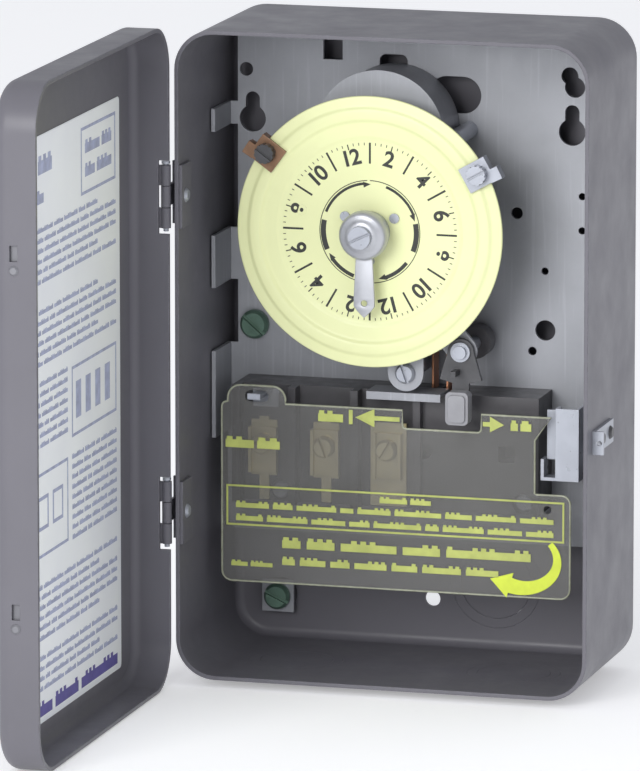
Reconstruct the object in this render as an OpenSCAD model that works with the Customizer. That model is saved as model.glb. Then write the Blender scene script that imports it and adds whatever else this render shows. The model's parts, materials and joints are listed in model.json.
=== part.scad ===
// 24-hour mechanical time switch in a wall case, door open at 90 degrees.
// X runs to the right, Y into the wall, Z up. The origin is the middle of the case's back,
// on the wall's face. Depths toward the front are given as "f", the distance from the wall.

/* [Case] */
// Outside width of the case
case_w = 127; // [125:0.5:130]
// Outside height of the case
case_h = 197; // [195:0.5:202]
// Depth from the wall to the case's front rim
case_d = 62; // [61:0.5:66]
// Thickness of the case and door sheet
sheet = 1.2; // [1:0.1:1.4]
// Radius of the four upright corners, seen from the front
corner_r = 12; // [10:0.5:14]
// Radius of the drawn edge between the back and the sides
edge_r = 4; // [3:0.5:5]
// Distance between the top and the bottom wall screws
wall_screw_span = 166; // [160:1:168]
// Radius of the wall screw holes
wall_hole_r = 2.4; // [2:0.1:3.2]

/* [Door] */
// Gap between the closed door's flange and the case, on each side
door_gap = 0.8; // [0.8:0.05:1]
// Depth of the door's flange
flange_d = 13; // [12:0.5:16]
// Length of flange that overlaps the closed case
overlap = 2.2; // [2:0.2:3]
// Height of each hinge
hinge_h = 19; // [15:1:24]
// Height of the hinges above and below the middle
hinge_z = 48; // [40:1:60]
// Radius of the hinge pins
pin_r = 0.8; // [0.7:0.05:0.9]

/* [Dial] */
// Radius of the dial
dial_r = 41; // [40:0.5:42]
// Centre of the dial to the right of the case's middle
dial_x = -8.4; // [-9:0.1:-8]
// Centre of the dial above the case's middle
dial_z = 37; // [36.5:0.1:37.5]
// Distance that the dial pulls out to be set
dial_pull = 3; // [2.6:0.2:3.2]

/* [Switch] */
// Pivot of the manual lever to the right of the middle
lever_x = 18.4; // [18:0.1:19]
// Height of the lever's pivot
lever_z = 1; // [0.5:0.1:1.5]
// Middle of the first terminal, at the left
terminal_x = -46; // [-47:0.5:-45]
// Distance from one terminal to the next
terminal_pitch = 19.5; // [19:0.5:20]

/* [Hidden] */
$fn = 48;

fit = 0.05;                 // radial clearance of a running fit
bite = 0.01;                // overshoot of a cut past a face

// Depths from the wall
plate_t = 1.2;
plate_f = 12;
bridge_f = 36.2;
gear_f0 = 38;
gear_f1 = 39.5;
dial_f = 43.2;              // front of the dial's flat middle
insulator_f = 37;
block_f = 28;
leaf_t = 1;

// Hinge line: near the flange's rim, so that the rim swings clear of the case's wall
knuckle_r = 1.5;
flange_out = case_w / 2 + door_gap + sheet;
rim_f = case_d - overlap;
pin_x = -(flange_out + 0.9);
pin_f = rim_f + 1.5;
door_front = rim_f + flange_d;
leaf_depth = 10;

// Motor and dial drive: tooth module in millimetres, and the teeth of each gear
gear_module = 0.6;
gear_teeth = 80;
pinion_teeth = 10;
centre_gap = gear_module * (gear_teeth + pinion_teeth) / 2;
pinion_top = gear_f0 + dial_pull - 0.7;    // the gear leaves the pinion when the dial is pulled out
motor_z = dial_z + centre_gap;
motor_r = 19.4;
post_r = 2;
sleeve_r = 4.5;
hub_r = 6.2;
rivet_r = 0.88;
rivet_angles = [30, 150, 270];
sleeve_f0 = 36.6;
sleeve_f1 = 46.5;

// Clips on the dial's rim, by angle from the right-hand side
on_angle = 144;
off_angle = 29.5;

// Insulator
hook_x = -45.5;
hook_z = -16;

// ---------- shared shapes ----------

// Rod along Y between two depths
module rod(x, z, f0, f1, r) {
    translate([x, -f0, z]) rotate([90, 0, 0]) cylinder(h = f1 - f0, r = r);
}

// Flat outline (x, z) given thickness between two depths
module slab(f0, f1) {
    translate([0, -f0, 0]) rotate([90, 0, 0]) linear_extrude(f1 - f0) children();
}

// Profile (radius, depth) spun about a Y axis
module spun(x, z) {
    translate([x, 0, z]) rotate([90, 0, 0]) rotate_extrude() children();
}

// Box between two corners given as (x, f, z)
module block(x0, x1, f0, f1, z0, z1) {
    translate([x0, -f1, z0]) cube([x1 - x0, f1 - f0, z1 - z0]);
}

// Outline of a slot with round ends
module pill(x0, z0, x1, z1, r) {
    length = norm([x1 - x0, z1 - z0]);
    translate([x0, z0]) circle(r);
    translate([x1, z1]) circle(r);
    translate([x0, z0]) rotate(atan2(z1 - z0, x1 - x0)) translate([0, -r]) square([length, 2 * r]);
}

// Rectangle with rounded corners
module round_rect(x0, x1, z0, z1, r) {
    translate([x0 + r, z0]) square([x1 - x0 - 2 * r, z1 - z0]);
    translate([x0, z0 + r]) square([x1 - x0, z1 - z0 - 2 * r]);
    for (x = [x0 + r, x1 - r], z = [z0 + r, z1 - r]) translate([x, z]) circle(r);
}

// Keyhole: round entry with a narrower slot above it
module keyhole(x, z, entry_r, slot_r, rise) {
    translate([x, z]) circle(entry_r);
    pill(x, z, x, z + rise, slot_r);
}

// What a rounded edge takes off the corner of a section
module edge_cut(r) {
    difference() {
        translate([0, -bite]) square([r + bite, r + bite]);
        translate([0, r]) circle(r);
    }
}

// Straight length of a tray's section, rounded at both lower edges
module tray_bar(length, breadth, depth, edge) {
    rotate([90, 0, 90]) linear_extrude(length, center = true) difference() {
        translate([-breadth / 2, 0]) square([breadth, depth]);
        for (side = [0, 1]) mirror([side, 0]) translate([breadth / 2 - edge, 0]) edge_cut(edge);
    }
}

// Solid tray: rounded corners and a rounded floor edge, floor at z = 0
module tray(w, h, depth, corner, edge) {
    tray_bar(w - 2 * corner, h, depth, edge);
    rotate(90) tray_bar(h - 2 * corner, w, depth, edge);
    for (x = [-1, 1] * (w / 2 - corner), y = [-1, 1] * (h / 2 - corner))
        translate([x, y, 0]) rotate_extrude() difference() {
            square([corner, depth]);
            translate([corner - edge, 0]) edge_cut(edge);
        }
}

// Thin-walled tray, open at the top
module tray_shell(w, h, depth, corner, edge) {
    difference() {
        tray(w, h, depth, corner, edge);
        translate([0, 0, sheet])
            tray(w - 2 * sheet, h - 2 * sheet, depth, corner - sheet, edge - sheet);
    }
}

// Round screw head with a driver slot, standing forward of depth f
module screw_head(x, z, f, r, h, turn = 0) {
    difference() {
        union() {
            rod(x, z, f, f + h * 0.6, r);
            translate([x, -f - h * 0.6, z]) rotate([90, 0, 0]) cylinder(h = h * 0.4, r1 = r, r2 = r * 0.8);
        }
        translate([x, -f - h, z]) rotate([0, turn, 0]) cube([r * 2.2, h, r * 0.28], center = true);
    }
}

// Gear outline with slim straight-flanked teeth, given room to mesh
module gear_outline(teeth, width_share) {
    pitch_r = gear_module * teeth / 2;
    root_r = pitch_r - 1.2 * gear_module;
    tip_r = pitch_r + 0.8 * gear_module;
    half = 360 / teeth / 4 * width_share;
    circle(root_r, $fn = 96);
    for (i = [0 : teeth - 1]) rotate(i * 360 / teeth)
        polygon([
            [(root_r - 0.3) * cos(half * 1.5), -(root_r - 0.3) * sin(half * 1.5)],
            [pitch_r * cos(half), -pitch_r * sin(half)],
            [tip_r * cos(half * 0.5), -tip_r * sin(half * 0.5)],
            [tip_r * cos(half * 0.5), tip_r * sin(half * 0.5)],
            [pitch_r * cos(half), pitch_r * sin(half)],
            [(root_r - 0.3) * cos(half * 1.5), (root_r - 0.3) * sin(half * 1.5)]
        ]);
}

// Turns what is drawn on the closed door to the open position
module swung_open() {
    translate([pin_x, -pin_f, 0]) rotate([0, 0, -90]) translate([-pin_x, pin_f, 0]) children();
}

// ---------- case ----------

// Middles of the knockouts: two in the bottom wall, one in the back
bottom_knockouts = [[-34, 33], [34, 33]];
knockout_r = 14.1;
slug_r = 11.1;

module knockout_discs(outer, inner) {
    for (k = bottom_knockouts) translate([k[0], -k[1], -case_h / 2]) difference() {
        cylinder(h = sheet, r = outer);
        translate([0, 0, -bite]) cylinder(h = sheet + 2 * bite, r = inner);
    }
    difference() {
        rod(20, -77, 0, sheet, outer);
        rod(20, -77, -bite, sheet + bite, inner);
    }
}

module case_shell() {
    color([0.36, 0.36, 0.38]) difference() {
        rotate([90, 0, 0]) tray_shell(case_w, case_h, case_d, corner_r, edge_r);
        for (z = [-1, 1] * wall_screw_span / 2) rod(0, z, -1, sheet + 1, wall_hole_r);
        for (k = bottom_knockouts)
            translate([k[0], -k[1], -case_h / 2 - 1]) cylinder(h = sheet + 2, r = knockout_r);
        rod(20, -77, -1, sheet + 1, knockout_r);
        for (z = [-1, 1] * hinge_z)
            block(-case_w / 2 - 1, -case_w / 2 + sheet + 1, case_d - leaf_depth - 0.1,
                case_d - leaf_depth + leaf_t + 0.1, z - hinge_h / 2 - 0.1, z + hinge_h / 2 + 0.1);
        for (z = [-1, 1] * hinge_z) translate([-case_w / 2 - 1, -case_d + 4.8, z])
            rotate([0, 90, 0]) cylinder(h = sheet + 2, r = 1.25);
        for (f = hasp_rivet_f) translate([case_w / 2 - sheet - 1, -f, hasp_z])
            rotate([0, 90, 0]) cylinder(h = sheet + 2, r = 1.25);
    }
}

module knockout_rings() {
    color([0.38, 0.38, 0.40]) knockout_discs(knockout_r, slug_r);
}

module knockout_slugs() {
    color([0.40, 0.40, 0.42]) {
        for (k = bottom_knockouts)
            translate([k[0], -k[1], -case_h / 2]) cylinder(h = sheet, r = slug_r - fit);
        rod(20, -77, 0, sheet, slug_r - fit);
    }
}

// Each case leaf lies on the inner wall, passes out through a slot and runs forward to the pin
module case_leaf(z) {
    inner = -case_w / 2 + sheet;
    low = z - hinge_h / 2;
    high = z + hinge_h / 2;
    third = hinge_h / 6;
    bend_f = case_d - leaf_depth;
    difference() {
        block(inner, inner + leaf_t, bend_f, case_d - 0.4, low, high);
        translate([inner - 1, -case_d + 4.8, z]) rotate([0, 90, 0]) cylinder(h = 3, r = 1.25);
    }
    block(pin_x - leaf_t / 2, inner + bite, bend_f, bend_f + leaf_t, low, high);
    difference() {
        union() {
            block(pin_x - leaf_t / 2, pin_x + leaf_t / 2, bend_f, pin_f, z - third, z + third);
            translate([pin_x, -pin_f, z - third]) cylinder(h = 2 * third, r = knuckle_r);
        }
        translate([pin_x, -pin_f, z - third - 1]) cylinder(h = 2 * third + 2, r = pin_r + fit);
    }
}

module case_hinge_leaves() {
    color([0.52, 0.52, 0.55]) for (z = [-1, 1] * hinge_z) case_leaf(z);
}

module hinge_pins() {
    color([0.6, 0.6, 0.62]) for (z = [-1, 1] * hinge_z) {
        translate([pin_x, -pin_f, z - hinge_h / 2 - 1]) cylinder(h = hinge_h + 2, r = pin_r);
        translate([pin_x, -pin_f, z + hinge_h / 2 + 0.4]) cylinder(h = 0.8, r = pin_r + 0.5);
    }
}

module hinge_rivets() {
    inner = -case_w / 2 + sheet;
    color([0.66, 0.66, 0.68]) for (z = [-1, 1] * hinge_z) translate([0, -case_d + 4.8, z])
        rotate([0, 90, 0]) {
            translate([0, 0, -case_w / 2]) cylinder(h = sheet + leaf_t, r = 1.25);
            translate([0, 0, inner + leaf_t]) cylinder(h = 0.8, r1 = 2.2, r2 = 1.4);
        }
}

// Small bracket on the right wall for a seal or a padlock
hasp_z = -21;
hasp_rivet_f = [38, 48];

module hasp_bracket() {
    wall = case_w / 2;
    color([0.7, 0.7, 0.72]) difference() {
        union() {
            block(wall, wall + 1, 34, 56, hasp_z - 3.5, hasp_z + 3.5);
            block(wall, wall + 3.4, 55, 56, hasp_z - 3.5, hasp_z + 3.5);
        }
        for (f = hasp_rivet_f) translate([wall - 1, -f, hasp_z])
            rotate([0, 90, 0]) cylinder(h = 4, r = 1.25);
        rod(wall + 2.1, hasp_z, 54, 57, 0.8);
    }
}

module hasp_rivets() {
    wall = case_w / 2;
    color([0.5, 0.5, 0.52]) for (f = hasp_rivet_f) translate([0, -f, hasp_z]) rotate([0, 90, 0]) {
        translate([0, 0, wall - sheet]) cylinder(h = sheet + 1, r = 1.25);
        translate([0, 0, wall + 1]) cylinder(h = 0.8, r1 = 2.1, r2 = 1.4);
        translate([0, 0, wall - sheet - 0.7]) cylinder(h = 0.7, r1 = 1.4, r2 = 2.1);
    }
}

ground_x = -48;
ground_z = -84;

module ground_boss() {
    color([0.5, 0.5, 0.52]) difference() {
        rod(ground_x, ground_z, sheet, 4.2, 5);
        rod(ground_x, ground_z, sheet + 0.4, 5, 1.9);
    }
}

module ground_washer() {
    color([0.72, 0.66, 0.4]) difference() {
        block(ground_x - 5, ground_x + 5, 4.2, 5.2, ground_z - 5, ground_z + 5);
        rod(ground_x, ground_z, 4, 6, 2);
    }
}

module ground_screw() {
    color([0.30, 0.55, 0.36]) {
        rod(ground_x, ground_z, sheet + 0.6, 5.2, 1.85);
        screw_head(ground_x, ground_z, 5.2, 4, 2.6, 25);
    }
}

// ---------- mechanism plate ----------

plate_right = 58;
plate_top = 91;
plate_bottom = -62;
plate_left = -61.9;
// Upright lips on the left edge, from one height to another
plate_lips = [[-31, -4.4], [15, 31], [62.7, 69.7]];
plate_screw_x = -53;
plate_screw_z = 1.6;
keyhole_z = 64.6;

module plate_holes() {
    keyhole(-53.8, keyhole_z, 4.1, 2.2, 6);
    keyhole(45.8, keyhole_z, 4.1, 2.2, 6);
    translate([-55.8, 79.6]) circle(2.1);
    translate([-31.6, 83.6]) square([6, 8]);
    round_rect(-14, -5.3, 78.6, 85.9, 2);
    pill(7, 74.4, 12, 74.4, 5.6);
    translate([46.6, 78.2]) circle(3.1);
    translate([45, 81.6]) circle(2.6);
    translate([28.8, 39.3]) circle(1.8);
    translate([49, 45.2]) circle(1.1);
    translate([49, 34.8]) circle(1.1);
    translate([37.6, 22]) circle(1.1);
    translate([37.8, 3.9]) circle(3.1);
    translate([33.8, -2.6]) circle(1.3);
    translate([plate_screw_x, plate_screw_z]) circle(2.1);
    translate([lever_x, lever_z]) circle(post_r + fit);
}

module mechanism_plate() {
    notch = 3.4;
    color([0.58, 0.58, 0.61]) {
        difference() {
            slab(plate_f - plate_t, plate_f) difference() {
                round_rect(plate_left, plate_right, plate_bottom, plate_top, 3);
                for (gap = [[-4.4, 15], [31, 62.7], [69.7, plate_top + 1]])
                    translate([plate_left - 1, gap[0]]) square([notch + 1, gap[1] - gap[0]]);
            }
            slab(plate_f - plate_t - 1, plate_f + 1) plate_holes();
        }
        for (lip = plate_lips)
            block(plate_left, plate_left + plate_t, plate_f - plate_t, 29, lip[0], lip[1]);
        for (x = [-48, 38]) {
            block(x, x + 12, sheet, plate_f - bite, plate_top - 1.2, plate_top);
            block(x, x + 12, sheet, plate_f - bite, plate_bottom, plate_bottom + 1.2);
        }
    }
}

module plate_boss() {
    color([0.45, 0.45, 0.47]) difference() {
        rod(plate_screw_x, plate_screw_z, sheet, plate_f - plate_t, 5);
        rod(plate_screw_x, plate_screw_z, sheet + 1, plate_f, 2);
    }
}

module plate_screw() {
    color([0.45, 0.5, 0.45]) {
        rod(plate_screw_x, plate_screw_z, sheet + 2, plate_f, 1.95);
        screw_head(plate_screw_x, plate_screw_z, plate_f, 4.4, 3, 40);
    }
}

// Springy clip at the right, formed from one strip
clip_z0 = -37.4;
clip_z1 = -15.4;

module spring_clip() {
    color([0.75, 0.78, 0.82]) difference() {
        union() {
            block(53.1, 54.1, plate_f, 35, clip_z0, clip_z1);
            block(46.9, 54.1, 34, 35, clip_z0, clip_z1);
            block(46.9, 47.9, 31, 35, clip_z0, clip_z1);
            block(43.6, 47.9, 31, 32, clip_z0 + 6, clip_z1 - 1);
            block(42.4, 54.1, 30, 35, clip_z0, clip_z0 + 1);
            block(42.4, 43.4, 30, 35, clip_z0, clip_z0 + 6.5);
            block(53.1, 61, plate_f, plate_f + 1, clip_z0, clip_z1);
        }
        rod(57.5, -26, plate_f - 1, plate_f + 2, 1.6);
    }
}

module clip_screw() {
    color([0.6, 0.6, 0.62]) {
        rod(57.5, -26, plate_f, plate_f + 1, 1.55);
        screw_head(57.5, -26, plate_f + 1, 2.8, 1.8, 70);
    }
}

// ---------- motor ----------

motor_ear = 22.4;
motor_f = 32;

module motor_posts() {
    color([0.7, 0.7, 0.72]) for (side = [-1, 1]) difference() {
        rod(dial_x + side * motor_ear, motor_z, plate_f, motor_f, 2.6);
        rod(dial_x + side * motor_ear, motor_z, motor_f - 8, motor_f + 1, 1.3);
    }
}

module motor_can() {
    color([0.46, 0.46, 0.49]) difference() {
        rod(dial_x, motor_z, plate_f + 0.4, motor_f, motor_r);
        rod(dial_x, motor_z, plate_f + 1.2, motor_f + 1, motor_r - 0.8);
    }
}

module motor_coil() {
    color([0.62, 0.36, 0.2]) spun(dial_x, motor_z) {
        translate([9.6, 14]) square([8, 1]);
        translate([9.6, 23]) square([8, 1]);
        translate([9.6, 14.9]) square([7.2, 8.2]);
    }
}

module motor_rotor() {
    color([0.3, 0.3, 0.32]) difference() {
        union() {
            rod(dial_x, motor_z, 15, 23, 8);
            rod(dial_x, motor_z, plate_f + 1.3, 24.2, 0.8);
        }
        for (a = [0 : 60 : 300])
            rod(dial_x + 5 * cos(a), motor_z + 5 * sin(a), 22, 24, 1.1);
    }
}

module reduction_gearbox() {
    color([0.66, 0.6, 0.42]) difference() {
        rod(dial_x, motor_z, 24.6, 31.4, 13);
        rod(dial_x, motor_z, 24, 32, 1.5 + fit);
    }
}

module motor_lid() {
    color([0.62, 0.62, 0.65]) difference() {
        slab(motor_f, motor_f + 1) union() {
            translate([dial_x, motor_z]) circle(motor_r + 0.8, $fn = 96);
            pill(dial_x - motor_ear, motor_z, dial_x + motor_ear, motor_z, 3);
        }
        rod(dial_x, motor_z, motor_f - 1, motor_f + 2, 1.5 + fit);
        for (side = [-1, 1])
            rod(dial_x + side * motor_ear, motor_z, motor_f - 1, motor_f + 2, 1.4);
    }
}

module motor_screws() {
    color([0.7, 0.7, 0.72]) for (side = [-1, 1]) {
        rod(dial_x + side * motor_ear, motor_z, motor_f - 6, motor_f + 1, 1.25);
        screw_head(dial_x + side * motor_ear, motor_z, motor_f + 1, 2.4, 1.6, 30 * side);
    }
}

module drive_pinion() {
    color([0.8, 0.68, 0.38]) {
        rod(dial_x, motor_z, 24.8, pinion_top + 0.3, 1.5);
        slab(gear_f0 - 0.8, pinion_top) translate([dial_x, motor_z])
            rotate(90 + 180 / pinion_teeth) gear_outline(pinion_teeth, 0.66);
    }
}

// ---------- bridge ----------

bridge_at = [[-36, 32], [19.2, 32], [0.8, -6.7]];

module bridge_pillars() {
    color([0.7, 0.7, 0.72]) for (p = bridge_at) difference() {
        rod(p[0], p[1], plate_f, bridge_f - plate_t, 2.8);
        rod(p[0], p[1], bridge_f - 8, bridge_f, 1.3);
    }
}

module bridge_plate() {
    color([0.6, 0.6, 0.63]) slab(bridge_f - plate_t, bridge_f) difference() {
        union() {
            intersection() {
                translate([dial_x, dial_z]) circle(32, $fn = 96);
                translate([dial_x - 40, dial_z - 40]) square([80, 46]);
            }
            pill(0.8, -6.7, 0.8, 12, 5.5);
            pill(lever_x, lever_z, lever_x - 12, lever_z + 14, 4.5);
        }
        for (p = bridge_at) translate(p) circle(1.4);
        translate([dial_x, dial_z]) circle(post_r + 1);
        translate([lever_x, lever_z]) circle(post_r + fit);
        pill(-26, 16, -18, 10, 3);
    }
}

module bridge_screws() {
    color([0.74, 0.74, 0.77]) for (i = [0 : len(bridge_at) - 1]) {
        p = bridge_at[i];
        rod(p[0], p[1], bridge_f - 7, bridge_f, 1.25);
        screw_head(p[0], p[1], bridge_f, 3, 1.7, 35 * i);
    }
}

// ---------- dial ----------

module dial_post() {
    color([0.74, 0.74, 0.77]) difference() {
        union() {
            rod(dial_x, dial_z, plate_f, bridge_f - plate_t, 5);
            rod(dial_x, dial_z, bridge_f - plate_t - bite, 51.6, post_r);
            rod(dial_x, dial_z, bridge_f - plate_t - bite, sleeve_f0, post_r + 0.95);
        }
        rod(dial_x, dial_z, 46, 53, 0.9);
    }
}

// The sleeve slides on the post and the dial turns on the sleeve
module dial_sleeve() {
    color([0.78, 0.7, 0.45]) spun(dial_x, dial_z) difference() {
        union() {
            square([sleeve_r, sleeve_f1]);
            square([hub_r, sleeve_f0 + 0.8]);
        }
        translate([-1, -1]) square([post_r + fit + 1, 60]);
        translate([-1, -1]) square([20, sleeve_f0 + 1]);
        translate([post_r + fit - bite, sleeve_f1 - 0.9]) square([0.25, 1]);
    }
}

module sleeve_ring() {
    color([0.5, 0.5, 0.52]) spun(dial_x, dial_z) translate([sleeve_r, 45.9]) square([1.3, 0.5]);
}

module dial_hub() {
    color([0.76, 0.76, 0.79]) difference() {
        spun(dial_x, dial_z) {
            translate([sleeve_r + fit, sleeve_f0 + 0.85]) square([hub_r - sleeve_r - fit, 8.4]);
            translate([sleeve_r + fit, gear_f1]) square([11 - sleeve_r - fit, 0.8]);
            translate([sleeve_r + fit, dial_f - 1.6]) square([11 - sleeve_r - fit, 0.8]);
        }
        for (a = rivet_angles)
            rod(dial_x + 8.8 * cos(a), dial_z + 8.8 * sin(a), gear_f0, dial_f, rivet_r + 0.02);
    }
}

module dial_gear() {
    color([0.8, 0.7, 0.42]) slab(gear_f0, gear_f1) translate([dial_x, dial_z]) difference() {
        rotate(90) gear_outline(gear_teeth, 0.72);
        circle(hub_r);
        for (a = rivet_angles) rotate(a) translate([8.8, 0]) circle(rivet_r + 0.02);
        for (a = [0 : 72 : 288]) rotate(a) translate([16.5, 0]) circle(4);
    }
}

// Pressed disc: flat middle, a raised ring and a lower outer edge
module dial_face() {
    t = 0.8;
    steps = [[hub_r, 0], [27.8, 0], [28.8, 0.5], [33, 0.5], [34, 1.3], [36.8, 1.3], [37.8, 0.6],
        [dial_r, 0.6]];
    back = [for (i = [len(steps) - 1 : -1 : 0]) [steps[i][0], dial_f + steps[i][1] - t]];
    front = [for (p = steps) [p[0], dial_f + p[1]]];
    color([0.96, 0.97, 0.78]) difference() {
        translate([dial_x, 0, dial_z]) rotate([90, 0, 0]) rotate_extrude($fn = 128)
            polygon(concat(front, back));
        for (a = rivet_angles)
            rod(dial_x + 8.8 * cos(a), dial_z + 8.8 * sin(a), dial_f - 2, dial_f + 1, rivet_r + 0.02);
    }
}

module dial_rivets() {
    color([0.7, 0.7, 0.72]) for (a = rivet_angles) translate([8.8 * cos(a), 0, 8.8 * sin(a)]) {
        rod(dial_x, dial_z, gear_f0 - 0.6, dial_f + 0.6, rivet_r);
        rod(dial_x, dial_z, gear_f0 - 0.6, gear_f0, 1.5);
        rod(dial_x, dial_z, gear_f1 + 0.8, dial_f - 1.6, 1.5);
        rod(dial_x, dial_z, dial_f, dial_f + 0.6, 1.5);
    }
}

// Coil spring between the sleeve and the pointer's cap, drawn as stacked turns
module dial_spring() {
    turns = 4;
    wire = 0.2;
    coil_r = 3.4;
    start = sleeve_f1 + wire;
    gap = (51.6 - start - wire) / (turns - 1);
    color([0.66, 0.66, 0.68]) {
        for (i = [0 : turns - 1]) translate([dial_x, -start - i * gap, dial_z]) rotate([90, 0, 0])
            rotate_extrude() translate([coil_r, 0]) circle(wire, $fn = 16);
        rod(dial_x + coil_r, dial_z, start, start + gap * (turns - 1), wire);
    }
}

// Fixed pointer: a cap over the hub with an arm that points straight down
module time_pointer() {
    color([0.78, 0.79, 0.81]) difference() {
        union() {
            spun(dial_x, dial_z) polygon([[0, 53.6], [4, 53.6], [6.4, 52.8], [7.4, 51], [7.4, 48.4],
                [6.7, 48.4], [6.7, 51.6], [0, 51.6]]);
            slab(48.8, 49.8) translate([dial_x, dial_z])
                polygon([[-2.6, -6.9], [2.6, -6.9], [3.2, -19], [3.2, -21.5], [0, -25], [-3.2, -21.5],
                    [-3.2, -19]]);
        }
        rod(dial_x, dial_z, 50, 55, 1.1);
    }
}

module pointer_screw() {
    color([0.72, 0.72, 0.74]) {
        rod(dial_x, dial_z, 47, 53.6, 0.85);
        difference() {
            rod(dial_x, dial_z, 53.6, 55.6, 3.4);
            translate([dial_x, -55.6, dial_z]) rotate([0, -25, 0]) cube([8, 1.6, 0.8], center = true);
        }
    }
}

// ---------- trippers ----------

// Clip over the dial's rim, clamped by a screw, with a lug that stands out past the rim
module tripper(angle, lug_turn) {
    gap = 0.1;
    rim_back = dial_f - 0.2 - gap;
    step = dial_f + 1.3 + gap;
    translate([dial_x, 0, dial_z]) rotate([0, -angle, 0]) {
        difference() {
            union() {
                block(34.2, 43, step, step + 1, -4, 4);
                block(dial_r + gap, 43, rim_back - 1, step + 0.5, -4, 4);
                rotate([0, lug_turn, 0]) block(41.6, 45.2, rim_back - 1, step + 1, -2, 2);
            }
            rod(38.9, 0, rim_back - 2, step + 2, 1.25);
            rod(0, 0, 20, step - bite, dial_r + gap - bite);
        }
        block(37.4, 42, rim_back - 1, rim_back, -4, 4);
    }
}

module tripper_screw(angle) {
    step = dial_f + 1.4 + 1;
    translate([dial_x, 0, dial_z]) rotate([0, -angle, 0]) {
        rod(38.9, 0, dial_f + 0.7, step, 1.2);
        difference() {
            rod(38.9, 0, step, step + 3, 3);
            for (a = [0 : 30 : 330])
                rod(38.9 + 3.2 * cos(a), 3.2 * sin(a), step - 1, step + 4, 0.45);
            translate([38.9, -step - 3, 0]) cube([7, 1.4, 0.8], center = true);
        }
    }
}

module on_tripper() {
    color([0.66, 0.5, 0.36]) tripper(on_angle, -3);
}

module on_tripper_screw() {
    color([0.45, 0.34, 0.24]) tripper_screw(on_angle);
}

module off_tripper() {
    color([0.72, 0.73, 0.74]) tripper(off_angle, 3);
}

module off_tripper_screw() {
    color([0.6, 0.6, 0.6]) tripper_screw(off_angle);
}

// ---------- switch ----------

lever_f = 38.2;

module trip_lever() {
    color([0.25, 0.25, 0.27]) translate([lever_x, 0, lever_z]) {
        slab(lever_f - plate_t, lever_f) difference() {
            union() {
                circle(4);
                polygon([[-4, 0], [4, 0], [6.5, -8.5], [2.6, -9.5], [2.6, -14], [-2.6, -14],
                    [-2.6, -9.5], [-6.5, -8.5]]);
            }
            circle(post_r);
        }
        block(-1.8, -0.2, lever_f - bite, 43.5, -6.8, -5.2);
    }
}

module lever_knob() {
    color([0.5, 0.5, 0.52]) translate([lever_x, 0, lever_z]) {
        slab(lever_f, lever_f + 4.6) round_rect(-3.5, 3.5, -21.5, -11.5, 1.5);
        slab(lever_f + 4.5, lever_f + 5.3) round_rect(-2.6, 2.6, -20.6, -12.4, 1.2);
    }
}

module lever_shaft() {
    color([0.7, 0.7, 0.72]) {
        rod(lever_x, lever_z, 9, 40.2, post_r);
        rod(lever_x, lever_z, lever_f, lever_f + 0.8, 3);
    }
}

module shaft_ring() {
    color([0.5, 0.5, 0.52]) difference() {
        rod(lever_x, lever_z, 9.4, 10.4, 3.6);
        rod(lever_x, lever_z, 9, 11, post_r);
    }
}

module switch_cam() {
    color([0.2, 0.2, 0.21]) slab(16, 22) translate([lever_x, lever_z]) difference() {
        union() {
            circle(5);
            pill(0, 0, -6.93, -4, 0.8);
        }
        circle(post_r);
    }
}

contact_x = 9.67;
contact_z = -24;

module moving_contact() {
    color([0.78, 0.5, 0.32]) {
        block(contact_x, contact_x + 0.6, 16, 22, contact_z, 5);
        rod(contact_x + 0.3, contact_z, 15.6, 22.4, 1.2);
        translate([contact_x - 1, -19, 3]) rotate([0, 90, 0]) cylinder(h = 1, r = 1.8);
    }
}

module fixed_contact() {
    color([0.78, 0.5, 0.32]) {
        block(5.2, 5.8, 16, 22, -28, 5);
        translate([5.8, -19, 3]) rotate([0, 90, 0]) cylinder(h = 1.1, r = 1.8);
    }
}

block_left = -55;
block_right = 40;
block_top = -14;
block_bottom = -50;
terminals = [for (i = [0 : 2]) terminal_x + i * terminal_pitch];
block_screw_x = [terminal_x + 5, block_right - 5];
block_seat_f = block_f - 3;

module terminal_block() {
    color([0.13, 0.13, 0.14]) difference() {
        union() {
            block(block_left, block_right, plate_f, block_f - 4, block_bottom, block_top);
            block(block_left, block_right, block_f - 4.1, block_f - 2, block_bottom, block_top);
            for (x = concat([block_left + 1.2], [for (t = terminals) t + terminal_pitch / 2]))
                block(x - 1.2, x + 1.2, block_f - 2.1, block_f + 3, block_bottom, block_top);
            block(3, block_right, block_f - 2.1, block_f, block_bottom, block_top);
        }
        block(5.2, 5.8, 16, 22, -28, block_top + 1);
        block(7.6, 12.4, 15.4, 22.6, contact_z - 4, block_top + 1);
        rod(4.4, -31.9, 20, block_f + 1, 2.4);
        block(27.5, 32.5, 20, block_f + 1, -34, -29.2);
        for (x = terminals) rod(x, -32, 18, block_f, 1.9);
        for (x = block_screw_x) {
            rod(x, -46.5, plate_f - 1, block_f + 1, 1.7);
            rod(x, -46.5, block_seat_f, block_f + 1, 3.1);
        }
    }
}

module block_screws() {
    color([0.66, 0.66, 0.68]) for (x = block_screw_x) {
        rod(x, -46.5, plate_f, block_seat_f + bite, 1.65);
        screw_head(x, -46.5, block_seat_f, 2.7, 1.6, x);
    }
}

strap_f = block_f - 2;

module terminal_straps() {
    color([0.8, 0.7, 0.45]) difference() {
        for (i = [0 : 2]) {
            half = [1.5, 1.5, 5.6][i];
            block(terminals[i] - half, terminals[i] + half, strap_f, strap_f + 1, -49.5, -24);
            block(terminals[i] - 4, terminals[i] + 4, strap_f, strap_f + 1, -42, -25);
        }
        for (x = terminals) rod(x, -32, 18, block_f + 2, 1.9);
    }
}

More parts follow.
